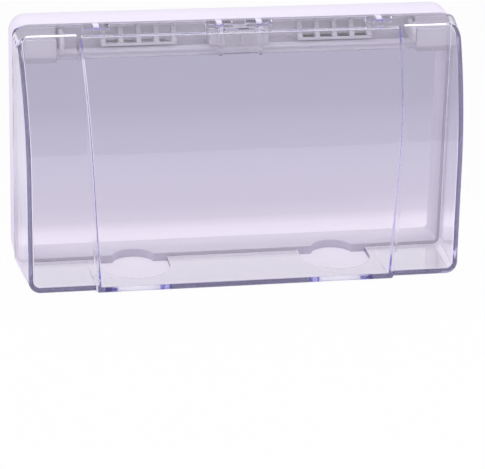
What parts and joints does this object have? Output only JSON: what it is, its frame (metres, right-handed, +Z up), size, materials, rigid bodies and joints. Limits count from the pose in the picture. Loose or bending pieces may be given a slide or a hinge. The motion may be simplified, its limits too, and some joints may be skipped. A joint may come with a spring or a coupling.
{
  "type": "splash cover for a double wall socket",
  "caption": "White wall frame with a clear bowed lid hinged along its top edge, which keeps splashes off plugs and sockets while their leads leave through slots in the bottom.",
  "frame": {"origin": "centre of the wall face, the plane of the foam's adhesive side", "axes": "+X across the cover to the viewer's right, +Y into the wall, +Z up; the lid faces -Y"},
  "size_m": [0.19, 0.0531, 0.108],
  "materials": {
    "white_abs": "white moulded ABS with a light satin gloss",
    "clear_polycarbonate": "clear moulded polycarbonate, polished, with a faint violet-blue tint that shows in its edges",
    "foam_tape": "closed-cell adhesive foam tape"
  },
  "bodies": {
    "frame": {"base_frame": "white_abs", "foam_seal": "foam_tape"},
    "lid": {"clear_lid": "clear_polycarbonate"}
  },
  "joints": [
    {"name": "lid_hinge", "type": "hinge", "parent": "frame", "child": "lid", "pos_m": [0, -0.01985, 0.0518], "axis": [-1, 0, 0], "range_deg": [0, 95]}
  ]
}
